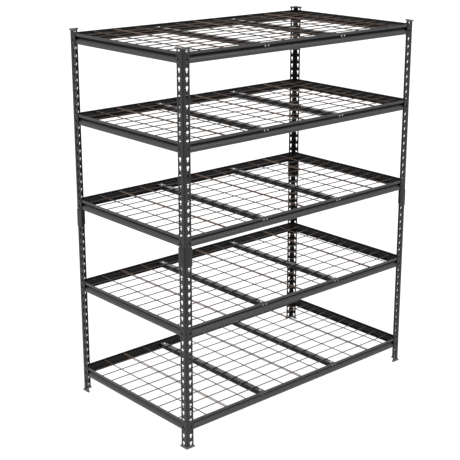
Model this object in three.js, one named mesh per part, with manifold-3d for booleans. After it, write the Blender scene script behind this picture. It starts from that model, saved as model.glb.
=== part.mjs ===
// Boltless steel shelving: five wire-deck levels on four keyholed angle posts.
// Millimetres, +Z up, origin on the floor at the middle of the footprint.
// X runs along the long side, Y along the short side, and the front is at -Y.

import * as THREE from 'three';
import { mergeGeometries, mergeVertices } from 'three/addons/utils/BufferGeometryUtils.js';
import Module from 'manifold-3d';

const wasm = await Module();
wasm.setup();

// Overall sizes, outer face to outer face of the posts.
const WIDTH = 1470;
const DEPTH = 824;
const HEIGHT = 1829;
const GAP = 0.3;

// Angle posts, each in two sections that meet at mid height.
const FLANGE = 39;
const POST_THICK = 2;
const HOLE_PITCH = 38.1;
const HOLE_COUNT = 48;
const FIRST_HOLE_TOP = HEIGHT - 8.5;
const HOLE_FROM_EDGE = 24;
const HOLE_HEIGHT = 22.5;
const HOLE_WIDE = 14.5;
const HOLE_NARROW = 7.5;
const MID_HEIGHT = HEIGHT / 2;

// Sleeve that joins the two sections of a post.
const SLEEVE_LENGTH = 84;
const SLEEVE_WALL = 3;

// Boot on both ends of every post, flared on its outer faces.
const BOOT_HEIGHT = 9;
const BOOT_FLOOR = 3;
const BOOT_WALL = 1.8;
const BOOT_FLARE = 6;

// Rolled beam: a lip, a ledge, an upright web, a sloping shoulder, a lower flange and a return.
const SHEET = 1.5;
const BEAM_HEIGHT = 50;
const LEDGE_UNDERSIDE = 37;
const LEDGE_DEPTH = 12;
const WEB_BOTTOM = 27;
const LOWER_FLANGE = 14;
const RETURN_DEPTH = 8;
const LEDGE_TOP = LEDGE_UNDERSIDE + SHEET;
const MITRE_GAP = 0.5;
const BEAM_INSET = POST_THICK + GAP;

// The hole of each level that carries its lower rivets, counted down from the top.
const LEVEL_HOLES = [1, 11, 22, 33, 45];
const RIVET_BELOW_HOLE_TOP = 16;
const LOWER_RIVET = 6;
const UPPER_RIVET = LOWER_RIVET + HOLE_PITCH;

// Stud rivets that hang the beams in the keyholes.
const SHANK_RADIUS = 3.15;
const HEAD_RADIUS = 6;
const HEAD_TOP_RADIUS = 4.4;
const HEAD_THICK = 1.8;
const SHANK_LENGTH = POST_THICK + 2 * GAP;
const RIVET_ROOT = 0.8;
const RIVET_SIDES = 6;
const HEAD_TAPER = 0.8;

// Tie bars under the deck, at one third and two thirds of the width.
const TIE_WIDTH = 30;
const TIE_HEIGHT = 22;
const TIE_WALL = 1.5;
const TIE_X = WIDTH / 6;
const TIE_RIVET_SPACING = 20;
const TIE_RIVET_HEIGHT = 32;
const TIE_RIVET_RADIUS = 3.5;
const TIE_TOP_RIVET_INSET = 22;

// Wire deck: bars stand for the wires, in a frame that rests on the ledges.
const DECK_CLEARANCE = 3;
const DECK_BAR = 4.5;
const DECK_THICK = 8;
const DECK_COLUMNS = [1, 2, 3, 5, 6, 7, 9, 10, 11];
const COLUMN_STEP = WIDTH / 12;
const DECK_ROWS = [0];

const painted = (color, roughness) =>
  new THREE.MeshStandardMaterial({ color, roughness, metalness: 0.35 });
const POST_STEEL = painted(0x48484c, 0.5);
const BEAM_STEEL = painted(0x434347, 0.45);
const TIE_STEEL = painted(0x36363a, 0.5);
const DECK_WIRE = painted(0x3a3735, 0.4);
const BOOT_PLASTIC = new THREE.MeshStandardMaterial({ color: 0x3c3d3c, roughness: 0.6, metalness: 0 });

// --- booleans -----------------------------------------------------------------------------

function toSolid(geometry) {
  const bare = geometry.index ? geometry.toNonIndexed() : geometry.clone();
  bare.deleteAttribute('normal');
  bare.deleteAttribute('uv');
  const merged = mergeVertices(bare, 1e-3);
  return new wasm.Manifold(new wasm.Mesh({
    numProp: 3,
    vertProperties: new Float32Array(merged.attributes.position.array),
    triVerts: new Uint32Array(merged.index.array),
  }));
}

function toGeometry(solid) {
  const mesh = solid.getMesh();
  const geometry = new THREE.BufferGeometry();
  geometry.setAttribute('position', new THREE.BufferAttribute(new Float32Array(mesh.vertProperties), 3));
  geometry.setIndex(new THREE.BufferAttribute(new Uint32Array(mesh.triVerts), 1));
  geometry.computeVertexNormals();
  return geometry;
}

const cut = (body, tools) => toGeometry(toSolid(body).subtract(toSolid(mergeGeometries(tools))));

const join = (body, pieces) =>
  toGeometry(pieces.reduce((solid, piece) => solid.add(toSolid(piece)), toSolid(body)));

// --- shared outlines ----------------------------------------------------------------------

const shapeOf = (points) => new THREE.Shape(points.map(([x, y]) => new THREE.Vector2(x, y)));

const prism = (points, depth) =>
  new THREE.ExtrudeGeometry(shapeOf(points), { depth, bevelEnabled: false });

function block([x0, x1], [y0, y1], [z0, z1]) {
  const box = new THREE.BoxGeometry(x1 - x0, y1 - y0, z1 - z0);
  return box.translate((x0 + x1) / 2, (y0 + y1) / 2, (z0 + z1) / 2);
}

// The angle's outline with its heel at the origin and its flanges along +X and +Y. The outer faces and
// the flanges' ends are grown by one offset, and the faces inside the angle by another.
function angleOutline(outerOffset, innerOffset = outerOffset) {
  const near = -outerOffset;
  const far = FLANGE + outerOffset;
  const inner = POST_THICK + innerOffset;
  return [[near, near], [far, near], [far, inner], [inner, inner], [inner, far], [near, far]];
}

// --- posts --------------------------------------------------------------------------------

const holeTop = (index) => FIRST_HOLE_TOP - HOLE_PITCH * index;

// One keyhole through the flange that runs along X, wide at the top and narrow at the bottom.
function keyholeCutter(index) {
  const wide = HOLE_WIDE / 2;
  const narrow = HOLE_NARROW / 2;
  const outline = [[-narrow, 0], [narrow, 0], [wide, HOLE_HEIGHT], [-wide, HOLE_HEIGHT]];
  const cutter = prism(outline, 2 * POST_THICK);
  cutter.rotateX(Math.PI / 2);
  return cutter.translate(HOLE_FROM_EDGE, 1.5 * POST_THICK, holeTop(index) - HOLE_HEIGHT);
}

// The same keyhole through the flange that runs along Y.
const turnedCutter = (index) => keyholeCutter(index).rotateZ(Math.PI / 2).translate(POST_THICK, 0, 0);

function postSection(low, high, firstHole, lastHole) {
  const body = prism(angleOutline(0), high - low).translate(0, 0, low);
  const cutters = [];
  for (let index = firstHole; index <= lastHole; index += 1) {
    cutters.push(keyholeCutter(index), turnedCutter(index));
  }
  return cut(body, cutters);
}

function couplerSleeve() {
  const outline = shapeOf(angleOutline(GAP + SLEEVE_WALL));
  outline.holes.push(new THREE.Path(angleOutline(GAP).map(([x, y]) => new THREE.Vector2(x, y))));
  const sleeve = new THREE.ExtrudeGeometry(outline, { depth: SLEEVE_LENGTH, bevelEnabled: false });
  return sleeve.translate(0, 0, MID_HEIGHT - SLEEVE_LENGTH / 2);
}

// A boot that stands on the floor: an angle outline that spreads outwards towards its closed base.
function footBoot() {
  const top = angleOutline(BOOT_WALL);
  const base = angleOutline(BOOT_FLARE, BOOT_WALL);
  const body = prism(top, BOOT_HEIGHT);
  const points = body.attributes.position;
  for (let i = 0; i < points.count; i += 1) {
    if (points.getZ(i) > BOOT_HEIGHT / 2) continue;
    const corner = top.findIndex(([x, y]) =>
      Math.hypot(points.getX(i) - x, points.getY(i) - y) < GAP / 2);
    points.setXY(i, base[corner][0], base[corner][1]);
  }
  const socket = prism(angleOutline(GAP), BOOT_HEIGHT).translate(0, 0, BOOT_FLOOR);
  return cut(body, [socket]);
}

// --- beams --------------------------------------------------------------------------------

// A sheet of constant thickness along an open path, grown to the left of the direction of travel.
function thicken(path, thickness) {
  const normals = path.slice(1).map(([x, y], i) => {
    const run = new THREE.Vector2(x - path[i][0], y - path[i][1]).normalize();
    return new THREE.Vector2(-run.y, run.x);
  });
  const inner = path.map(([x, y], i) => {
    const before = normals[Math.max(i - 1, 0)];
    const after = normals[Math.min(i, normals.length - 1)];
    const mitre = before.clone().add(after).normalize();
    const reach = thickness / mitre.dot(after);
    return [x + mitre.x * reach, y + mitre.y * reach];
  });
  return [...path, ...inner.reverse()];
}

// Distance in from the beam's outer face, then height.
const BEAM_PROFILE = thicken([
  [0, BEAM_HEIGHT],
  [0, LEDGE_UNDERSIDE],
  [LEDGE_DEPTH, LEDGE_UNDERSIDE],
  [LEDGE_DEPTH, WEB_BOTTOM],
  [0, LOWER_FLANGE],
  [0, 0],
  [RETURN_DEPTH, 0],
], SHEET);

// A rivet whose axis is +Z, with its root below z = 0.
function rivet(shankLength, shankRadius, headRadius, headTop) {
  const outline = [
    [0, -RIVET_ROOT],
    [shankRadius, -RIVET_ROOT],
    [shankRadius, shankLength],
    [headRadius, shankLength],
    [headTop, shankLength + HEAD_THICK],
    [0, shankLength + HEAD_THICK],
  ];
  const points = outline.map(([x, y]) => new THREE.Vector2(x, y));
  return new THREE.LatheGeometry(points, RIVET_SIDES).rotateX(Math.PI / 2);
}

function plainHead(radius) {
  const outline = [
    [0, -RIVET_ROOT],
    [radius, -RIVET_ROOT],
    [radius * HEAD_TAPER, HEAD_THICK],
    [0, HEAD_THICK],
  ];
  const points = outline.map(([x, y]) => new THREE.Vector2(x, y));
  return new THREE.LatheGeometry(points, RIVET_SIDES).rotateX(Math.PI / 2);
}

// A beam that faces -Y, centred on X, with its outer face on y = 0 and its bottom on z = 0.
function beam(span, tieRivets) {
  const length = span - 2 * (BEAM_INSET + MITRE_GAP);
  const body = prism(BEAM_PROFILE, length);
  const corners = body.attributes.position;
  for (let i = 0; i < corners.count; i += 1) {
    const inward = corners.getX(i);
    const along = corners.getZ(i);
    corners.setZ(i, along < length / 2 ? inward : length - inward);
  }
  const alongX = new THREE.Matrix4().makeBasis(
    new THREE.Vector3(0, 1, 0), new THREE.Vector3(0, 0, 1), new THREE.Vector3(1, 0, 0));
  body.applyMatrix4(alongX).translate(-length / 2, 0, 0);

  const pieces = [];
  for (const side of [-1, 1]) {
    for (const height of [LOWER_RIVET, UPPER_RIVET]) {
      const stud = rivet(SHANK_LENGTH, SHANK_RADIUS, HEAD_RADIUS, HEAD_TOP_RADIUS);
      stud.rotateX(Math.PI / 2);
      pieces.push(stud.translate(side * (span / 2 - HOLE_FROM_EDGE), 0, height));
    }
    if (!tieRivets) continue;
    for (const shift of [-TIE_RIVET_SPACING / 2, TIE_RIVET_SPACING / 2]) {
      const head = plainHead(TIE_RIVET_RADIUS).rotateX(Math.PI / 2);
      pieces.push(head.translate(side * TIE_X + shift, LEDGE_DEPTH, TIE_RIVET_HEIGHT));
    }
  }
  return join(body, pieces);
}

// --- tie bars and decks -------------------------------------------------------------------

// A channel with closed ends and an open underside, its top level with the beams' ledges.
function tieBar() {
  const half = DEPTH / 2 - BEAM_INSET - LEDGE_DEPTH - SHEET - GAP;
  const side = TIE_WIDTH / 2;
  const bottom = LEDGE_TOP - TIE_HEIGHT;
  const body = block([-side, side], [-half, half], [bottom, LEDGE_TOP]);
  const hollow = block(
    [-side + TIE_WALL, side - TIE_WALL],
    [-half + TIE_WALL, half - TIE_WALL],
    [bottom - TIE_WALL, LEDGE_TOP - TIE_WALL]);
  const channel = cut(body, [hollow]);
  const heads = [-1, 1].map((end) =>
    plainHead(TIE_RIVET_RADIUS).translate(0, end * (half - TIE_TOP_RIVET_INSET), LEDGE_TOP));
  return join(channel, heads);
}

function wireDeck() {
  const halfX = WIDTH / 2 - BEAM_INSET - SHEET - DECK_CLEARANCE;
  const halfY = DEPTH / 2 - BEAM_INSET - SHEET - DECK_CLEARANCE;
  const low = LEDGE_TOP + GAP;
  const high = low + DECK_THICK;
  const edgesX = [
    -halfX + DECK_BAR / 2,
    ...DECK_COLUMNS.map((column) => column * COLUMN_STEP - WIDTH / 2),
    halfX - DECK_BAR / 2,
  ];
  const edgesY = [-halfY + DECK_BAR / 2, ...DECK_ROWS, halfY - DECK_BAR / 2];
  const cells = [];
  for (let i = 1; i < edgesX.length; i += 1) {
    for (let j = 1; j < edgesY.length; j += 1) {
      cells.push(block(
        [edgesX[i - 1] + DECK_BAR / 2, edgesX[i] - DECK_BAR / 2],
        [edgesY[j - 1] + DECK_BAR / 2, edgesY[j] - DECK_BAR / 2],
        [low - DECK_THICK, high + DECK_THICK]));
    }
  }
  return cut(block([-halfX, halfX], [-halfY, halfY], [low, high]), cells);
}

// --- assembly -----------------------------------------------------------------------------

const rack = new THREE.Group();

function place(parent, name, geometry, material, [x, y, z] = [0, 0, 0], turn = 0) {
  const mesh = new THREE.Mesh(geometry, material);
  mesh.name = name;
  mesh.position.set(x, y, z);
  mesh.rotation.z = turn;
  parent.add(mesh);
}

const CORNERS = [
  { name: 'front_left', x: -WIDTH / 2, y: -DEPTH / 2, turn: 0 },
  { name: 'front_right', x: WIDTH / 2, y: -DEPTH / 2, turn: Math.PI / 2 },
  { name: 'back_right', x: WIDTH / 2, y: DEPTH / 2, turn: Math.PI },
  { name: 'back_left', x: -WIDTH / 2, y: DEPTH / 2, turn: -Math.PI / 2 },
];

const POST_END = BOOT_FLOOR + GAP;
const lowerSection = postSection(POST_END, MID_HEIGHT - GAP / 2, HOLE_COUNT / 2, HOLE_COUNT - 1);
const upperSection = postSection(MID_HEIGHT + GAP / 2, HEIGHT - POST_END, 0, HOLE_COUNT / 2 - 1);
const sleeve = couplerSleeve();
const foot = footBoot();
const cap = foot.clone().rotateX(Math.PI).rotateZ(Math.PI / 2).translate(0, 0, HEIGHT);

for (const { name, x, y, turn } of CORNERS) {
  const post = new THREE.Group();
  post.position.set(x, y, 0);
  post.rotation.z = turn;
  rack.add(post);
  place(post, `post_${name}_lower`, lowerSection, POST_STEEL);
  place(post, `post_${name}_upper`, upperSection, POST_STEEL);
  place(post, `coupler_${name}`, sleeve, POST_STEEL);
  place(post, `foot_${name}`, foot, BOOT_PLASTIC);
  place(post, `cap_${name}`, cap, BOOT_PLASTIC);
}

const longBeam = beam(WIDTH, true);
const shortBeam = beam(DEPTH, false);
const tie = tieBar();
const deck = wireDeck();
const faceX = WIDTH / 2 - BEAM_INSET;
const faceY = DEPTH / 2 - BEAM_INSET;

LEVEL_HOLES.forEach((hole, index) => {
  const shelf = new THREE.Group();
  shelf.position.z = holeTop(hole) - RIVET_BELOW_HOLE_TOP - LOWER_RIVET;
  rack.add(shelf);
  const label = `shelf${index + 1}`;
  place(shelf, `${label}_beam_front`, longBeam, BEAM_STEEL, [0, -faceY, 0]);
  place(shelf, `${label}_beam_back`, longBeam, BEAM_STEEL, [0, faceY, 0], Math.PI);
  place(shelf, `${label}_beam_left`, shortBeam, BEAM_STEEL, [-faceX, 0, 0], -Math.PI / 2);
  place(shelf, `${label}_beam_right`, shortBeam, BEAM_STEEL, [faceX, 0, 0], Math.PI / 2);
  place(shelf, `${label}_tie_left`, tie, TIE_STEEL, [-TIE_X, 0, 0]);
  place(shelf, `${label}_tie_right`, tie, TIE_STEEL, [TIE_X, 0, 0]);
  place(shelf, `${label}_wire_deck`, deck, DECK_WIRE);
});

export default rack;
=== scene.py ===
import math

import bmesh
import bpy
from mathutils import Matrix, Vector
from mathutils.geometry import delaunay_2d_cdt


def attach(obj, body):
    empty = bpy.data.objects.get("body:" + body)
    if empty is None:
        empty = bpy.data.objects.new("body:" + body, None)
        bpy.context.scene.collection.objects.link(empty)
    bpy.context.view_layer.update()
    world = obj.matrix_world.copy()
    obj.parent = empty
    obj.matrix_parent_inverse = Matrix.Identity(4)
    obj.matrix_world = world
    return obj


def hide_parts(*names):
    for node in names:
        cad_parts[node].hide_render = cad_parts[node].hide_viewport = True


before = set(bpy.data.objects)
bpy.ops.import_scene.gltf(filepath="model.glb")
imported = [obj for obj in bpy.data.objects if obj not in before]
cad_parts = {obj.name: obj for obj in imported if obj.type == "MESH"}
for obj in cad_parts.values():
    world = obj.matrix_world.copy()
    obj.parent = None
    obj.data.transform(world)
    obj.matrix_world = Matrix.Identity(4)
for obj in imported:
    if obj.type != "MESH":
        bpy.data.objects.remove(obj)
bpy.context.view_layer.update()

# --- sizes in millimetres -------------------------------------------------------------------
# They are the CAD part's, but for the sleeve's wall, the rounder holes and rivets, and the wires.
MM = 0.001
WIDTH, DEPTH, HEIGHT = 1470.0, 824.0, 1829.0
GAP = 0.3
FLANGE, POST_THICK, HEEL_RADIUS = 39.0, 2.0, 3.2
HOLE_PITCH, HOLE_COUNT, FIRST_HOLE_TOP, HOLE_FROM_EDGE = 38.1, 48, HEIGHT - 8.5, 24.0
HOLE_HEIGHT, HOLE_HEAD_RADIUS, HOLE_NECK, HOLE_TIP_RADIUS = 22.5, 7.1, 4.2, 3.5
MID_HEIGHT = HEIGHT / 2
SLEEVE_LENGTH, SLEEVE_WALL = 84.0, 2.2
BOOT_HEIGHT, BOOT_FLOOR, BOOT_WALL = 9.0, 3.0, 1.8
BOOT_OUTSIDE = [  # height above the floor, and how far the outside stands off the post there
    (0.0, 5.2), (0.35, 5.75), (1.0, 6.0), (1.9, 5.75), (2.8, 5.0), (4.0, 3.95),
    (5.4, 2.95), (7.0, 2.25), (8.3, 1.9), (8.8, 1.6), (9.0, 1.2),
]
POST_END = BOOT_FLOOR + GAP

SHEET, BEAM_HEIGHT, LEDGE_UNDERSIDE, LEDGE_DEPTH = 1.5, 50.0, 37.0, 12.0
WEB_BOTTOM, LOWER_FLANGE, RETURN_DEPTH, MITRE_GAP = 27.0, 14.0, 8.0, 0.5
LEDGE_TOP = LEDGE_UNDERSIDE + SHEET
BEAM_INSET = POST_THICK + GAP
LEVEL_HOLES = [1, 11, 22, 33, 45]
RIVET_BELOW_HOLE_TOP, LOWER_RIVET = 16.0, 6.0
UPPER_RIVET = LOWER_RIVET + HOLE_PITCH

TIE_WIDTH, TIE_HEIGHT, TIE_WALL, TIE_X = 30.0, 22.0, 1.5, WIDTH / 6
TIE_RIVET_SPACING, TIE_RIVET_HEIGHT, TIE_TOP_RIVET_INSET = 20.0, 32.0, 22.0
WEB_RIVET_RADIUS, WEB_RIVET_RISE, TOP_RIVET_RADIUS, TOP_RIVET_RISE = 4.4, 2.4, 4.2, 2.2
STUD_SHANK, RIVET_ROOT = 3.15, 0.8
STUD_HEAD = [(5.6, 0.0), (6.0, 0.3), (6.0, 0.6), (5.6, 1.1), (4.6, 1.5), (2.8, 1.75), (0.8, 1.8)]
PLATE_INSET = 1.6

WIRE_RADIUS, PAIRED_RADIUS, WIRE_SINK, DECK_CLEARANCE = 2.2, 2.0, 0.8, 3.0
COLUMN_STEP, SINGLE_COLUMNS, PAIRED_COLUMNS = WIDTH / 12, [1, 3, 5, 7, 9, 11], [2, 6, 10]
PAIR_SPACING, ROW_DIVISIONS = 9.5, 11
WELD = [(1.2, -2.0), (3.1, -1.2), (3.6, 0.0), (3.1, 1.2), (1.2, 2.0)]

SMOOTH_DEGREES = 38

CORNERS = {
    "front_left": (-WIDTH / 2, -DEPTH / 2, 0.0),
    "front_right": (WIDTH / 2, -DEPTH / 2, math.pi / 2),
    "back_right": (WIDTH / 2, DEPTH / 2, math.pi),
    "back_left": (-WIDTH / 2, DEPTH / 2, -math.pi / 2),
}


# --- outlines -------------------------------------------------------------------------------

def fillet(points, radii, steps=4):
    """A closed outline with each corner rounded to its own radius."""
    rounded = []
    for i, corner in enumerate(points):
        here = Vector(corner)
        back = (Vector(points[i - 1]) - here).normalized()
        ahead = (Vector(points[(i + 1) % len(points)]) - here).normalized()
        half = back.angle(ahead) / 2
        reach = radii[i] / math.tan(half)
        centre = here + (back + ahead).normalized() * (radii[i] / math.sin(half))
        start = here + back * reach - centre
        end = here + ahead * reach - centre
        turn = start.angle(end)
        for k in range(steps + 1):
            share = k / steps
            arm = start * math.sin((1 - share) * turn) + end * math.sin(share * turn)
            rounded.append(tuple(centre + arm / math.sin(turn)))
    return rounded


def angle_outline(outer, inner, heel, edge, steps=4):
    """The angle post's outline grown by an outer and an inner offset, with a rounded heel."""
    near, far, inside = -outer, FLANGE + outer, POST_THICK + inner
    points = [(near, near), (far, near), (far, inside), (inside, inside), (inside, far), (near, far)]
    return fillet(points, [heel, edge, edge, max(heel - 2, edge), edge, edge], steps)


def thicken(path, thickness):
    """A sheet of constant thickness along an open path, grown to the left of its direction."""
    path = [Vector(p) for p in path]
    normals = []
    for a, b in zip(path, path[1:]):
        run = (b - a).normalized()
        normals.append(Vector((-run.y, run.x)))
    inner = []
    for i, point in enumerate(path):
        before = normals[max(i - 1, 0)]
        after = normals[min(i, len(normals) - 1)]
        mitre = (before + after).normalized()
        inner.append(point + mitre * (thickness / mitre.dot(after)))
    return [tuple(p) for p in path + inner[::-1]]


def keyhole_outline(index, steps=12):
    """One keyhole: a round head above a slot that narrows to a round tip."""
    top = FIRST_HOLE_TOP - HOLE_PITCH * index
    head = top - HOLE_HEAD_RADIUS
    tip = top - HOLE_HEIGHT + HOLE_TIP_RADIUS
    opening = math.asin(HOLE_NECK / HOLE_HEAD_RADIUS)
    points = []
    for k in range(steps + 1):
        angle = -math.pi / 2 + opening + (2 * math.pi - 2 * opening) * k / steps
        points.append((HOLE_HEAD_RADIUS * math.cos(angle), head + HOLE_HEAD_RADIUS * math.sin(angle)))
    for k in range(steps // 2 + 1):
        angle = math.pi + math.pi * k / (steps // 2)
        points.append((HOLE_TIP_RADIUS * math.cos(angle), tip + HOLE_TIP_RADIUS * math.sin(angle)))
    return points


# --- mesh building --------------------------------------------------------------------------

def loft(bm, rings):
    """Joins rings of equal length, each a list of 3-D points, and closes both ends."""
    rows = [[bm.verts.new(Vector(p) * MM) for p in ring] for ring in rings]
    for low, high in zip(rows, rows[1:]):
        for i in range(len(low)):
            j = (i + 1) % len(low)
            bm.faces.new((low[i], low[j], high[j], high[i]))
    bm.faces.new(rows[0][::-1])
    bm.faces.new(rows[-1])


def lathe(bm, profile, place, sides=20):
    """A solid of revolution about place's local Z, from (radius, height) pairs that end off the axis."""
    rings = []
    for radius, height in profile:
        ring = []
        for k in range(sides):
            angle = 2 * math.pi * k / sides
            ring.append(place @ Vector((radius * math.cos(angle), radius * math.sin(angle), height)))
        rings.append(ring)
    loft(bm, rings)


def to_mesh(bm, name, smooth_degrees=SMOOTH_DEGREES):
    bmesh.ops.recalc_face_normals(bm, faces=bm.faces)
    mesh = bpy.data.meshes.new(name)
    bm.to_mesh(mesh)
    bm.free()
    mesh.shade_smooth()
    mesh.set_sharp_from_angle(angle=math.radians(smooth_degrees))
    return mesh


def with_modifiers(mesh, add):
    """The mesh with modifiers worked in."""
    worker = bpy.data.objects.new("worker", mesh)
    bpy.context.scene.collection.objects.link(worker)
    add(worker)
    graph = bpy.context.evaluated_depsgraph_get()
    made = bpy.data.meshes.new_from_object(worker.evaluated_get(graph))
    bpy.data.objects.remove(worker)
    made.shade_smooth()
    made.set_sharp_from_angle(angle=math.radians(SMOOTH_DEGREES))
    return made


def two_coats(mesh, coat, second_coat, takes_second):
    """Gives a mesh two materials; takes_second(face) says which faces carry the second."""
    mesh.materials.append(coat)
    mesh.materials.append(second_coat)
    for face in mesh.polygons:
        face.material_index = int(takes_second(face))
    return mesh


def soften(worker, width):
    """Eases an object's sharp edges with a bevel modifier."""
    bevel = worker.modifiers.new("soften", "BEVEL")
    bevel.width = width * MM
    bevel.segments = 2
    bevel.limit_method = "ANGLE"
    bevel.angle_limit = math.radians(40)
    bevel.use_clamp_overlap = True


def post_mesh(name, low, high, first_hole, last_hole):
    """A post section: a flat sheet with its keyholes cut, folded at the heel and then thickened."""
    arc = HEEL_RADIUS * math.pi / 2
    flat = FLANGE - HEEL_RADIUS
    columns = [-arc / 2 - flat, *[arc * (k / 6 - 0.5) for k in range(7)], arc / 2 + flat]
    points, edges, holes = [], [], []

    def add_loop(loop):
        start = len(points)
        points.extend(Vector(p) for p in loop)
        edges.extend((start + i, start + (i + 1) % len(loop)) for i in range(len(loop)))

    add_loop([(u, low) for u in columns] + [(u, high) for u in reversed(columns)])
    count = len(columns)
    edges.extend((i, 2 * count - 1 - i) for i in range(1, count - 1))
    for index in range(first_hole, last_hole + 1):
        for side in (-1, 1):
            centre = side * (arc / 2 + HOLE_FROM_EDGE - HEEL_RADIUS)
            loop = [(centre + x, z) for x, z in keyhole_outline(index)]
            add_loop(loop)
            holes.append((centre, loop))

    verts, _, faces, *_ = delaunay_2d_cdt(points, edges, [], 0, 1e-5)

    def in_hole(u, z):
        for centre, loop in holes:
            if abs(u - centre) > HOLE_HEAD_RADIUS or not loop_low(loop) < z < loop_high(loop):
                continue
            crossings = 0
            for (x0, z0), (x1, z1) in zip(loop, loop[1:] + loop[:1]):
                if (z0 > z) != (z1 > z) and u < x0 + (z - z0) / (z1 - z0) * (x1 - x0):
                    crossings += 1
            if crossings % 2:
                return True
        return False

    def folded(u, z):
        if abs(u) <= arc / 2:
            angle = -3 * math.pi / 4 + u / HEEL_RADIUS
            return (HEEL_RADIUS * (1 + math.cos(angle)), HEEL_RADIUS * (1 + math.sin(angle)), z)
        along = HEEL_RADIUS + abs(u) - arc / 2
        return (along, 0.0, z) if u > 0 else (0.0, along, z)

    bm = bmesh.new()
    made = [bm.verts.new(Vector(folded(v.x, v.y)) * MM) for v in verts]
    for face in faces:
        centre = sum((verts[i] for i in face), Vector((0, 0))) / len(face)
        if not in_hole(centre.x, centre.y):
            bm.faces.new([made[i] for i in face])
    bmesh.ops.dissolve_limit(bm, angle_limit=math.radians(1), verts=bm.verts, edges=bm.edges)
    bmesh.ops.recalc_face_normals(bm, faces=bm.faces)
    flat_face = max(bm.faces, key=lambda f: f.calc_area())
    outward = Vector((-1, -1, 0))
    if flat_face.normal.dot(outward) < 0:
        bmesh.ops.reverse_faces(bm, faces=bm.faces)
    mesh = bpy.data.meshes.new(name)
    bm.to_mesh(mesh)
    bm.free()

    def add(worker):
        solid = worker.modifiers.new("solid", "SOLIDIFY")
        solid.thickness = POST_THICK * MM
        solid.offset = -1
        solid.use_even_offset = True
        soften(worker, 0.35)
    # The hollow side takes the darker coat: painted shade.
    return two_coats(with_modifiers(mesh, add), POST_COAT, PAINTED_SHADE_COAT, faces_inward)


def faces_inward(face):
    """True on the hollow side of an angle post or its coupler."""
    return max(face.normal.x, face.normal.y) > 0.5


def loop_low(loop):
    return min(z for _, z in loop)


def loop_high(loop):
    return max(z for _, z in loop)


def sleeve_mesh():
    """The coupler: a rolled angle tube with eased rims."""
    low, high = MID_HEIGHT - SLEEVE_LENGTH / 2, MID_HEIGHT + SLEEVE_LENGTH / 2
    outer, inner, ease = GAP + SLEEVE_WALL, GAP, 0.6
    walls = [
        (inner, low + ease), (inner + ease, low), (outer - ease, low), (outer, low + ease),
        (outer, high - ease), (outer - ease, high), (inner + ease, high), (inner, high - ease),
    ]
    rings = []
    for offset, z in walls:
        outline = angle_outline(offset, offset, HEEL_RADIUS + offset, 0.4 + offset / 3)
        rings.append([(x, y, z) for x, y in outline])
    bm = bmesh.new()
    rows = [[bm.verts.new(Vector(p) * MM) for p in ring] for ring in rings]
    for here, there in zip(rows, rows[1:] + rows[:1]):
        for i in range(len(here)):
            j = (i + 1) % len(here)
            bm.faces.new((here[i], here[j], there[j], there[i]))
    # The hollow side takes the darker coat: painted shade.
    return two_coats(to_mesh(bm, "coupler"), POST_COAT, PAINTED_SHADE_COAT, faces_inward)


def boot_mesh():
    """A moulded end boot that stands on the floor, flared outwards and open at the top for the post."""
    rings = []
    for z, flare in BOOT_OUTSIDE:
        wall = min(flare, BOOT_WALL)
        rings.append([(x, y, z) for x, y in angle_outline(flare, wall, HEEL_RADIUS + flare * 0.4, 0.8)])
    for z, offset in ((BOOT_HEIGHT, 0.7), (BOOT_HEIGHT - 0.4, 0.35), (BOOT_FLOOR, GAP)):
        rings.append([(x, y, z) for x, y in angle_outline(offset, offset, HEEL_RADIUS, 0.3)])
    bm = bmesh.new()
    loft(bm, rings)
    return to_mesh(bm, "boot", 50)


BEAM_PATH = [
    (0, BEAM_HEIGHT), (0, LEDGE_UNDERSIDE), (LEDGE_DEPTH, LEDGE_UNDERSIDE), (LEDGE_DEPTH, WEB_BOTTOM),
    (0, LOWER_FLANGE), (0, 0), (RETURN_DEPTH, 0),
]


def beam_mesh(span):
    """A rolled beam facing -Y, its ends mitred, centred on X, its outer face on y = 0."""
    sharp = thicken(BEAM_PATH, SHEET)
    radii = [0.5, 0.7, 1.8, 0.7, 1.6, 2.0, 0.4, 0.4, 0.7, 1.6, 0.7, 1.8, 0.7, 0.5]
    outline = fillet(sharp, radii, 3)
    half = span / 2 - BEAM_INSET - MITRE_GAP
    rings = [[(side * (half - inward), inward, height) for inward, height in outline]
             for side in (-1, 1)]
    bm = bmesh.new()
    loft(bm, rings)

    # Painted shade: the fold under the ledge, the ledge's top inside and the inner faces take the darker
    # coat.
    def takes_painted_shade(face):
        inward, height = face.center.y / MM, face.center.z / MM
        in_fold = 0.8 < inward < LEDGE_DEPTH + 0.3 and WEB_BOTTOM < height < LEDGE_UNDERSIDE + 0.3
        on_ledge = inward > SHEET and height > LEDGE_TOP - 0.5
        return in_fold or on_ledge or face.normal.y > 0.1

    return two_coats(to_mesh(bm, f"beam_{span:.0f}"), BEAM_COAT, PAINTED_SHADE_COAT, takes_painted_shade)


def pan_head(radius, height, root):
    """A pan head's profile, from its underside up, with a shallow dome."""
    return [
        (radius * 0.55, -root), (radius * 0.96, 0.0), (radius, height * 0.22),
        (radius * 0.95, height * 0.5), (radius * 0.8, height * 0.78),
        (radius * 0.55, height * 0.93), (radius * 0.2, height),
    ]


OUTWARD = Matrix.Rotation(math.pi / 2, 4, "X")


def stud_mesh(span):
    """The four studs of a beam, each a shank through the keyhole and a head outside it."""
    bm = bmesh.new()
    for side in (-1, 1):
        for height in (LOWER_RIVET, UPPER_RIVET):
            place = Matrix.Translation((side * (span / 2 - HOLE_FROM_EDGE), 0, height)) @ OUTWARD
            reach = POST_THICK + 2 * GAP
            lathe(bm, [(STUD_SHANK, -RIVET_ROOT), (STUD_SHANK, reach)], place)
            seat = place @ Matrix.Translation((0, 0, reach))
            lathe(bm, STUD_HEAD, seat)
    return to_mesh(bm, f"studs_{span:.0f}")


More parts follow.
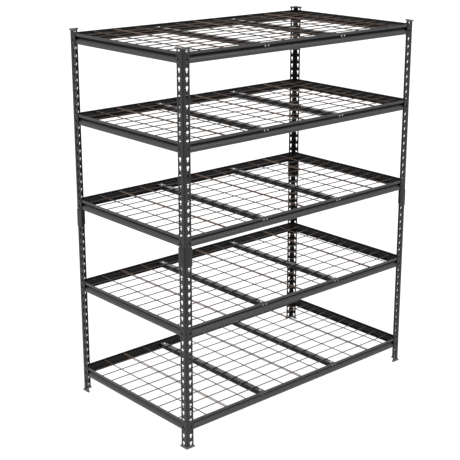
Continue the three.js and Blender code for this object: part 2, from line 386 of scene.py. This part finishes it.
def tie_head_mesh():
    """The pairs of rivets that hold the tie bars to a long beam's web."""
    bm = bmesh.new()
    for side in (-1, 1):
        for shift in (-TIE_RIVET_SPACING / 2, TIE_RIVET_SPACING / 2):
            place = Matrix.Translation((side * TIE_X + shift, LEDGE_DEPTH, TIE_RIVET_HEIGHT)) @ OUTWARD
            lathe(bm, pan_head(WEB_RIVET_RADIUS, WEB_RIVET_RISE, RIVET_ROOT), place, 24)
    return to_mesh(bm, "tie_rivets")


TIE_HALF = DEPTH / 2 - BEAM_INSET - LEDGE_DEPTH - SHEET - GAP


def tie_mesh():
    """A tie bar: a channel with its open side down and a plate closing each end."""
    side, bottom = TIE_WIDTH / 2, LEDGE_TOP - TIE_HEIGHT
    sharp = thicken([(-side, bottom), (-side, LEDGE_TOP), (side, LEDGE_TOP), (side, bottom)], -TIE_WALL)
    outline = fillet(sharp, [0.5, 2.0, 2.0, 0.5, 0.5, 0.8, 0.8, 0.5], 4)
    bm = bmesh.new()
    loft(bm, [[(x, end * TIE_HALF, z) for x, z in outline] for end in (-1, 1)])
    edge, top = side - PLATE_INSET, LEDGE_TOP - PLATE_INSET
    plate = fillet([(-edge, bottom), (edge, bottom), (edge, top), (-edge, top)], [1.0] * 4, 3)
    for end in (-1, 1):
        loft(bm, [[(x, end * y, z) for x, z in plate] for y in (TIE_HALF - TIE_WALL, TIE_HALF - 0.05)])
    # Faces that don't face up take the darker side coat: painted shade.
    return two_coats(to_mesh(bm, "tie"), TIE_COAT, TIE_SIDE_SHADE_COAT, lambda face: face.normal.z < 0.6)


def tie_top_rivet_mesh():
    """The rivet on top of each end of a tie bar."""
    bm = bmesh.new()
    for end in (-1, 1):
        place = Matrix.Translation((0, end * (TIE_HALF - TIE_TOP_RIVET_INSET), LEDGE_TOP))
        lathe(bm, pan_head(TOP_RIVET_RADIUS, TOP_RIVET_RISE, RIVET_ROOT), place, 24)
    return to_mesh(bm, "tie_top_rivets")


def rod(bm, start, end, radius, sides=12):
    """A round wire with eased ends."""
    start, end = Vector(start), Vector(end)
    run = end - start
    place = Matrix.Translation(start) @ run.to_track_quat("Z", "Y").to_matrix().to_4x4()
    length, ease = run.length, radius * 0.35
    profile = [(radius - ease, 0), (radius, ease), (radius, length - ease), (radius - ease, length)]
    lathe(bm, profile, place, sides)


def deck_mesh():
    """A wire deck: long wires below, cross wires welded on top of them, some of them in pairs."""
    half_x = WIDTH / 2 - BEAM_INSET - SHEET - DECK_CLEARANCE
    half_y = DEPTH / 2 - BEAM_INSET - SHEET - DECK_CLEARANCE
    low = LEDGE_TOP + GAP + WIRE_RADIUS
    high = low + 2 * WIRE_RADIUS - WIRE_SINK
    cross = [(column * COLUMN_STEP - WIDTH / 2, WIRE_RADIUS) for column in SINGLE_COLUMNS]
    for column in PAIRED_COLUMNS:
        middle = column * COLUMN_STEP - WIDTH / 2
        cross += [(middle + side * PAIR_SPACING / 2, PAIRED_RADIUS) for side in (-1, 1)]
    rows = [DEPTH * (k / ROW_DIVISIONS - 0.5) for k in range(1, ROW_DIVISIONS)]
    bm = bmesh.new()
    for y in rows:
        rod(bm, (-half_x, y, low), (half_x, y, low), WIRE_RADIUS)
    for x, radius in cross:
        already = len(bm.faces)
        rod(bm, (x, -half_y, high), (x, half_y, high), radius)
        bm.faces.ensure_lookup_table()
        # The paired wires take the lighter copy of the wire coat: painted light.
        for face in bm.faces[already:]:
            face.material_index = int(radius == PAIRED_RADIUS)
        for y in rows:
            weld = Matrix.Translation((x, y, (low + high) / 2))
            lathe(bm, WELD, weld, 10)
    mesh = to_mesh(bm, "wire_deck", 60)
    mesh.materials.append(WIRE_COAT)
    mesh.materials.append(PAIRED_WIRE_LIT_COPY)
    return mesh


# --- materials ------------------------------------------------------------------------------

class Nodes:
    """A material's node tree, with short calls to add nodes and links."""

    def __init__(self, name):
        self.material = bpy.data.materials.new(name)
        self.material.use_nodes = True
        self.tree = self.material.node_tree
        self.shader = self.tree.nodes["Principled BSDF"]

    def add(self, kind, **inputs):
        node = self.tree.nodes.new(kind)
        for key, value in inputs.items():
            self.set(node, key.replace("_", " "), value)
        return node

    def set(self, node, socket, value):
        if isinstance(value, bpy.types.NodeSocket):
            self.tree.links.new(value, node.inputs[socket])
        else:
            node.inputs[socket].default_value = value

    def noise(self, vector, scale, detail, roughness=0.5):
        node = self.add("ShaderNodeTexNoise", Vector=vector, Scale=scale, Detail=detail,
                        Roughness=roughness)
        return node.outputs["Fac"]

    def ramp(self, value, low, high, low_to, high_to):
        node = self.add("ShaderNodeMapRange")
        for socket, number in zip(("Value", "From Min", "From Max", "To Min", "To Max"),
                                  (value, low, high, low_to, high_to)):
            self.set(node, socket, number)
        return node.outputs["Result"]

    def math(self, operation, a, b):
        node = self.tree.nodes.new("ShaderNodeMath")
        node.operation = operation
        self.set(node, 0, a)
        self.set(node, 1, b)
        return node.outputs[0]

    def mix(self, share, a, b):
        node = self.tree.nodes.new("ShaderNodeMix")
        node.data_type = "RGBA"
        self.set(node, 0, share)
        self.set(node, 6, a)
        self.set(node, 7, b)
        return node.outputs[2]

    def place(self):
        """Coordinates in the object, moved by a different amount on each object."""
        where = self.tree.nodes.new("ShaderNodeTexCoord").outputs["Object"]
        chance = self.tree.nodes.new("ShaderNodeObjectInfo").outputs["Random"]
        shift = self.add("ShaderNodeVectorMath")
        self.set(shift, 0, where)
        self.tree.links.new(self.math("MULTIPLY", chance, 11.0), shift.inputs[1])
        return shift.outputs[0]

    def edges(self, radius):
        """1 on convex and concave edges, 0 on flat faces."""
        bevel = self.tree.nodes.new("ShaderNodeBevel")
        bevel.samples = 4
        bevel.inputs["Radius"].default_value = radius * MM
        face = self.tree.nodes.new("ShaderNodeNewGeometry").outputs["Normal"]
        dot = self.tree.nodes.new("ShaderNodeVectorMath")
        dot.operation = "DOT_PRODUCT"
        self.set(dot, 0, bevel.outputs["Normal"])
        self.set(dot, 1, face)
        return self.ramp(dot.outputs["Value"], 0.99, 0.86, 0.0, 1.0)

    def shelter(self, reach):
        """0 deep in folds and corners, 1 in the open."""
        node = self.tree.nodes.new("ShaderNodeAmbientOcclusion")
        node.samples = 6
        node.inputs["Distance"].default_value = reach * MM
        return node.outputs["AO"]

    def bump(self, height, strength, distance):
        node = self.add("ShaderNodeBump", Height=height, Strength=strength, Distance=distance * MM)
        self.set(self.shader, "Normal", node.outputs["Normal"])


def rgba(red, green, blue):
    return (red, green, blue, 1.0)


def powder_coat(name, colour, roughness, wear_and_highlight, gloss):
    """Sprayed and baked coat: fine orange-peel grain, cloudy sheen, edges lighter as rubbed wear and
    painted highlight, painted shade in folds.
    """
    n = Nodes(name)
    place = n.place()
    cloud = n.noise(place, 7.0, 3.0)
    grain = n.noise(place, 650.0, 3.0, 0.6)
    speck = n.noise(place, 1700.0, 1.0)
    tone = n.math("ADD", n.ramp(cloud, 0.3, 0.7, 0.9, 1.08), n.ramp(speck, 0.35, 0.65, -0.09, 0.09))
    base = n.add("ShaderNodeVectorMath")
    base.operation = "SCALE"
    base.inputs[0].default_value = colour
    n.set(base, "Scale", tone)
    # Edges are lighter: partly rubbed wear, partly a painted highlight along the edges.
    worn_highlit_edges = n.math("MULTIPLY", n.edges(1.4), n.ramp(n.noise(place, 60.0, 4.0), 0.42, 0.62, 0.15, 1.0))
    worn_highlit_colour = rgba(*[min(1.0, c * 1.5 + 0.035) for c in colour])
    # Painted shade: the colour is darkened where occlusion finds folds and corners.
    fold_shade = n.ramp(n.shelter(16.0), 0.35, 0.85, 0.12, 1.0)
    with_worn_highlit_edges = n.mix(n.math("MULTIPLY", worn_highlit_edges, wear_and_highlight), base.outputs[0], worn_highlit_colour)
    fold_shaded = n.add("ShaderNodeVectorMath")
    fold_shaded.operation = "SCALE"
    n.set(fold_shaded, 0, with_worn_highlit_edges)
    n.set(fold_shaded, "Scale", fold_shade)
    n.set(n.shader, "Base Color", fold_shaded.outputs[0])
    n.set(n.shader, "Specular IOR Level", gloss)
    sheen = n.math("ADD", n.ramp(cloud, 0.3, 0.7, -0.04, 0.05), n.ramp(grain, 0.3, 0.7, -0.03, 0.03))
    n.set(n.shader, "Roughness", n.math("ADD", sheen, roughness))
    n.bump(n.math("ADD", grain, n.math("MULTIPLY", speck, 0.35)), 0.35, 0.12)
    return n.material


def coated_wire(name, colour):
    """Drawn wire under a thin dark coat of uneven tone."""
    n = Nodes(name)
    place = n.place()
    patch = n.noise(place, 35.0, 3.0)
    grain = n.noise(place, 900.0, 2.0)
    warm = rgba(*[c * 1.5 for c in colour])
    n.set(n.shader, "Base Color", n.mix(n.ramp(patch, 0.35, 0.7, 0.0, 0.6), rgba(*colour), warm))
    n.set(n.shader, "Roughness", n.ramp(grain, 0.3, 0.7, 0.42, 0.58))
    n.set(n.shader, "Specular IOR Level", 0.25)
    n.bump(grain, 0.3, 0.05)
    return n.material


def moulded_plastic(name, colour):
    """Matte moulding with a fine texture and faint scuffs."""
    n = Nodes(name)
    place = n.place()
    texture = n.noise(place, 1100.0, 3.0, 0.65)
    scuff = n.ramp(n.noise(place, 120.0, 5.0, 0.7), 0.58, 0.72, 0.0, 0.5)
    lighter = rgba(*[c * 1.7 + 0.01 for c in colour])
    n.set(n.shader, "Base Color", n.mix(n.math("MAXIMUM", scuff, n.math("MULTIPLY", n.edges(0.8), 0.6)),
                                        rgba(*colour), lighter))
    n.set(n.shader, "Roughness", n.ramp(texture, 0.3, 0.7, 0.5, 0.68))
    n.bump(texture, 0.4, 0.08)
    return n.material


def plated_rivet(name):
    """Bright zinc plate, mottled."""
    n = Nodes(name)
    place = n.place()
    mark = n.noise(place, 420.0, 4.0, 0.6)
    n.set(n.shader, "Base Color", n.mix(n.ramp(mark, 0.4, 0.7, 0.0, 1.0), rgba(0.86, 0.86, 0.85),
                                        rgba(0.62, 0.62, 0.6)))
    n.set(n.shader, "Metallic", 1.0)
    n.set(n.shader, "Roughness", n.ramp(mark, 0.3, 0.7, 0.22, 0.4))
    n.bump(mark, 0.25, 0.15)
    return n.material


# The painted-shade coat, on folds, hollow sides and inner faces, and the tie side coat are darker copies
# of the same paint:
# painted shade. The paired wires' lighter, browner coat is painted light on the same wire coat. They
# aren't other paints.
POST_COAT = powder_coat("post_coat", (0.017, 0.017, 0.019), 0.38, 0.5, 0.25)
BEAM_COAT = powder_coat("beam_coat", (0.022, 0.022, 0.024), 0.36, 0.4, 0.5)
# A darker, duller copy of the coat: painted shade.
PAINTED_SHADE_COAT = powder_coat("painted_shade_coat", (0.010, 0.010, 0.011), 0.6, 0.3, 0.1)
TIE_COAT = powder_coat("tie_coat", (0.009, 0.009, 0.010), 0.32, 0.6, 0.4)
# A darker copy of the tie coat for the sides: painted shade.
TIE_SIDE_SHADE_COAT = powder_coat("tie_side_painted_shade", (0.007, 0.007, 0.008), 0.5, 0.8, 0.15)
STUD_COAT = powder_coat("stud_coat", (0.022, 0.022, 0.023), 0.36, 0.8, 0.5)
WIRE_COAT = coated_wire("wire_coat", (0.034, 0.020, 0.013))
# A lighter, browner copy of the wire coat: painted light, not another paint.
PAIRED_WIRE_LIT_COPY = coated_wire("paired_wire_lit_copy", (0.060, 0.033, 0.022))
BOOT_MATTE = moulded_plastic("boot_matte", (0.056, 0.056, 0.055))
ZINC = plated_rivet("rivet_zinc")


# --- pieces ---------------------------------------------------------------------------------

def piece(name, mesh, material, place, body, replaced=None):
    """One visible piece on its CAD body, and the CAD node that it stands for."""
    made = bpy.data.objects.new(name, mesh)
    bpy.context.scene.collection.objects.link(made)
    if not mesh.materials:
        mesh.materials.append(material)
    made.matrix_world = place
    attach(made, body)
    if replaced:
        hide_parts(replaced)
    return made


def at(x, y, z, turn=0.0):
    return Matrix.Translation(Vector((x, y, z)) * MM) @ Matrix.Rotation(turn, 4, "Z")


LOWER_POST = post_mesh("post_lower", POST_END, MID_HEIGHT - GAP / 2, HOLE_COUNT // 2, HOLE_COUNT - 1)
UPPER_POST = post_mesh("post_upper", MID_HEIGHT + GAP / 2, HEIGHT - POST_END, 0, HOLE_COUNT // 2 - 1)
SLEEVE = sleeve_mesh()
BOOT = boot_mesh()

for corner, (x, y, turn) in CORNERS.items():
    place = at(x, y, 0, turn)
    piece(f"steel_post_{corner}_lower", LOWER_POST, POST_COAT, place, "frame",
          f"post_{corner}_lower")
    piece(f"steel_post_{corner}_upper", UPPER_POST, POST_COAT, place, "frame",
          f"post_{corner}_upper")
    piece(f"sleeve_{corner}", SLEEVE, POST_COAT, place, "frame", f"coupler_{corner}")
    piece(f"boot_{corner}_bottom", BOOT, BOOT_MATTE, place, "frame", f"foot_{corner}")
    over = at(x, y, HEIGHT, turn + math.pi / 2) @ Matrix.Rotation(math.pi, 4, "X")
    piece(f"boot_{corner}_top", BOOT, BOOT_MATTE, over, "frame", f"cap_{corner}")

BEAMS = {"long": beam_mesh(WIDTH), "short": beam_mesh(DEPTH)}
STUDS = {"long": stud_mesh(WIDTH), "short": stud_mesh(DEPTH)}
TIE_HEADS = tie_head_mesh()
TIE = tie_mesh()
TIE_TOP_RIVETS = tie_top_rivet_mesh()
DECK = deck_mesh()
FACE_X, FACE_Y = WIDTH / 2 - BEAM_INSET, DEPTH / 2 - BEAM_INSET
SIDES = {
    "front": ("long", 0, -FACE_Y, 0.0),
    "back": ("long", 0, FACE_Y, math.pi),
    "left": ("short", -FACE_X, 0, -math.pi / 2),
    "right": ("short", FACE_X, 0, math.pi / 2),
}

for level, hole in enumerate(LEVEL_HOLES, 1):
    z = FIRST_HOLE_TOP - HOLE_PITCH * hole - RIVET_BELOW_HOLE_TOP - LOWER_RIVET
    shelf = f"shelf{level}"
    for side, (kind, x, y, turn) in SIDES.items():
        place = at(x, y, z, turn)
        piece(f"{shelf}_rolled_beam_{side}", BEAMS[kind], BEAM_COAT, place, shelf,
              f"{shelf}_beam_{side}")
        piece(f"{shelf}_studs_{side}", STUDS[kind], STUD_COAT, place, shelf)
        if kind == "long":
            piece(f"{shelf}_tie_rivets_{side}", TIE_HEADS, ZINC, place, shelf)
    for side, x in (("left", -TIE_X), ("right", TIE_X)):
        place = at(x, 0, z)
        piece(f"{shelf}_channel_{side}", TIE, TIE_COAT, place, shelf, f"{shelf}_tie_{side}")
        piece(f"{shelf}_tie_top_rivets_{side}", TIE_TOP_RIVETS, ZINC, place, shelf)
    piece(f"{shelf}_round_wires", DECK, WIRE_COAT, at(0, 0, z), f"deck{level}",
          f"{shelf}_wire_deck")


# --- floor, light and camera, in metres -----------------------------------------------------

FLOOR_MIDDLE, FLOOR_REACH, FLOOR_SIDES, FLOOR_DROP = 2.6, 80.0, 64, 0.0006
WORLD_BASE, SEEN_WHITE = 0.10, 1.05
GLOWS = [  # direction, where it starts and is full as a cosine from it, and strength
    ((-0.7, 0.7, -0.1), 0.3, 0.95, 0.95),
    ((0.7, -0.7, -0.15), 0.3, 0.95, 0.95),
    ((0.67, 0.74, 0.25), 0.6, 0.95, 1.4),
]
CAMERA_YAW, CAMERA_PITCH, CAMERA_ROLL = 42.2515, -15.8917, 0.207
CAMERA_PLACE = (-3.5832, -3.9402, 2.4877)
SENSOR_MM, LENS_MM, SHIFT_X, SHIFT_Y = 36.0, 86.55652, -0.0348, -0.0739

def make_floor():
    """A pale floor in two pieces: glossy reflections show its middle and not the rest."""
    n = Nodes("pale_floor")
    n.set(n.shader, "Base Color", rgba(0.12, 0.12, 0.12))
    n.set(n.shader, "Roughness", 0.9)
    n.set(n.shader, "Specular IOR Level", 0.1)
    n.set(n.shader, "Emission Color", rgba(1.0, 1.0, 1.0))
    n.set(n.shader, "Emission Strength", 0.9)
    angles = [2 * math.pi * k / FLOOR_SIDES for k in range(FLOOR_SIDES)]
    for name, inner, outer in (("studio_floor_middle", 0.0, FLOOR_MIDDLE),
                               ("studio_floor_around", FLOOR_MIDDLE, FLOOR_REACH)):
        bm = bmesh.new()
        rings = [[bm.verts.new((r * math.cos(a), r * math.sin(a), 0)) for a in angles]
                 for r in (inner, outer) if r]
        if inner:
            for k in range(FLOOR_SIDES):
                j = (k + 1) % FLOOR_SIDES
                bm.faces.new((rings[0][k], rings[0][j], rings[1][j], rings[1][k]))
        else:
            bm.faces.new(rings[0])
        bmesh.ops.recalc_face_normals(bm, faces=bm.faces)
        mesh = bpy.data.meshes.new(name)
        bm.to_mesh(mesh)
        bm.free()
        mesh.materials.append(n.material)
        made = bpy.data.objects.new(name, mesh)
        made.location.z = -FLOOR_DROP
        made.visible_glossy = not inner
        bpy.context.scene.collection.objects.link(made)


def make_sun(name, position, degrees, strength):
    """A broad soft light from a direction, degrees wide."""
    light = bpy.data.lights.new(name, "SUN")
    light.angle = math.radians(degrees)
    light.energy = strength
    made = bpy.data.objects.new(name, light)
    made.rotation_euler = (-Vector(position)).to_track_quat("-Z", "Y").to_euler()
    bpy.context.scene.collection.objects.link(made)


def make_world(base, glows):
    """A white studio seen by the camera, lit from soft glows: (direction, start, end, strength) each."""
    world = bpy.data.worlds.new("studio")
    world.use_nodes = True
    tree = world.node_tree
    background = tree.nodes["Background"]
    background.inputs["Color"].default_value = rgba(1.0, 1.0, 1.0)
    where = tree.nodes.new("ShaderNodeTexCoord").outputs["Generated"]
    total = None
    for direction, start, end, strength in glows:
        dot = tree.nodes.new("ShaderNodeVectorMath")
        dot.operation = "DOT_PRODUCT"
        tree.links.new(where, dot.inputs[0])
        dot.inputs[1].default_value = Vector(direction).normalized()
        glow = tree.nodes.new("ShaderNodeMapRange")
        glow.interpolation_type = "SMOOTHSTEP"
        tree.links.new(dot.outputs["Value"], glow.inputs["Value"])
        limits = {"From Min": start, "From Max": end, "To Min": 0.0, "To Max": strength}
        for socket, number in limits.items():
            glow.inputs[socket].default_value = number
        add = tree.nodes.new("ShaderNodeMath")
        add.operation = "ADD"
        tree.links.new(glow.outputs["Result"], add.inputs[0])
        if total is None:
            add.inputs[1].default_value = base
        else:
            tree.links.new(total, add.inputs[1])
        total = add.outputs[0]
    seen = tree.nodes.new("ShaderNodeMix")
    tree.links.new(tree.nodes.new("ShaderNodeLightPath").outputs["Is Camera Ray"], seen.inputs[0])
    tree.links.new(total, seen.inputs[2])
    seen.inputs[3].default_value = SEEN_WHITE
    tree.links.new(seen.outputs[0], background.inputs["Strength"])
    bpy.context.scene.world = world


def make_camera():
    """The photo's view, found by a fit of the posts and the decks."""
    yaw, pitch, roll = (math.radians(angle) for angle in (CAMERA_YAW, CAMERA_PITCH, CAMERA_ROLL))
    level = math.cos(pitch)
    forward = Vector((math.sin(yaw) * level, math.cos(yaw) * level, math.sin(pitch)))
    right = Vector((math.cos(yaw), -math.sin(yaw), 0))
    up = right.cross(forward)
    tilted_right = right * math.cos(roll) + up * math.sin(roll)
    tilted_up = up * math.cos(roll) - right * math.sin(roll)
    camera = bpy.data.objects.new("camera", bpy.data.cameras.new("camera"))
    turn = Matrix((tilted_right, tilted_up, -forward)).transposed().to_4x4()
    camera.matrix_world = Matrix.Translation(CAMERA_PLACE) @ turn
    camera.data.sensor_width = SENSOR_MM
    camera.data.lens = LENS_MM
    camera.data.shift_x = SHIFT_X
    camera.data.shift_y = SHIFT_Y
    camera.data.clip_end = 200
    bpy.context.scene.collection.objects.link(camera)
    bpy.context.scene.camera = camera


make_floor()
make_world(WORLD_BASE, GLOWS)
make_sun("top_soft", (-0.1, -0.15, 2.0), 100, 5.2)
make_camera()
scene = bpy.context.scene
scene.view_settings.view_transform = "Standard"
scene.view_settings.look = "None"
